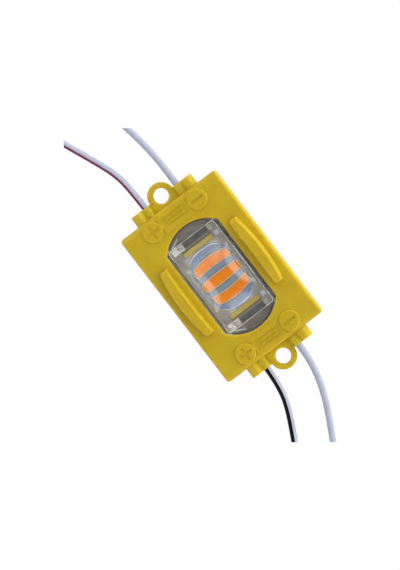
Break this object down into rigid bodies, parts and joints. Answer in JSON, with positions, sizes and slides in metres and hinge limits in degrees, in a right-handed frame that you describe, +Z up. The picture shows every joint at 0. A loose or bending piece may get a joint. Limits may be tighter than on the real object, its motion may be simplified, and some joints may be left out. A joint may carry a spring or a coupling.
{
  "type": "led light module",
  "caption": "Small rectangular light module in a yellow moulded housing with two screw ears, guard fins beside a clear domed lens, light strips under it and short leads at both ends.",
  "frame": {"origin": "middle of the housing's underside", "axes": "+X along the body through both screw ears, +Y across it towards the minus marks, +Z up through the lens"},
  "size_m": [0.1089, 0.032, 0.0107],
  "materials": {
    "housing_plastic": "satin yellow moulded plastic",
    "lens_plastic": "clear polished plastic",
    "board": "satin aluminium with a grey mask on top",
    "phosphor_gel": "soft orange gel",
    "dam_silicone": "pale silicone",
    "die": "polished chip",
    "pad_copper": "copper",
    "solder": "bright solder",
    "tinned_metal": "tinned metal",
    "chip_case": "black moulded case",
    "resistor_body": "dark glaze",
    "lead_white": "white insulation",
    "lead_red_stripe": "white insulation with a red stripe",
    "lead_black_stripe": "black and white insulation"
  },
  "bodies": {
    "root": {"housing": "housing_plastic", "lens": "lens_plastic", "circuit_board": "board", "solder_pads": "pad_copper", "driver_chip": "chip_case", "driver_legs": "tinned_metal", "diode": "chip_case", "diode_tabs": "tinned_metal", "resistors": "resistor_body", "resistor_caps": "tinned_metal", "phosphor_left": "phosphor_gel", "dam_left": "dam_silicone", "dies_left": "die", "phosphor_middle": "phosphor_gel", "dam_middle": "dam_silicone", "dies_middle": "die", "phosphor_right": "phosphor_gel", "dam_right": "dam_silicone", "dies_right": "die", "conductor_plus_left": "tinned_metal", "solder_plus_left": "solder", "conductor_minus_left": "tinned_metal", "solder_minus_left": "solder", "conductor_plus_right": "tinned_metal", "solder_plus_right": "solder", "conductor_minus_right": "tinned_metal", "solder_minus_right": "solder", "lead_plus_left": "lead_red_stripe", "lead_minus_left": "lead_white", "lead_minus_right": "lead_white", "lead_plus_right": "lead_black_stripe"}
  },
  "joints": []
}
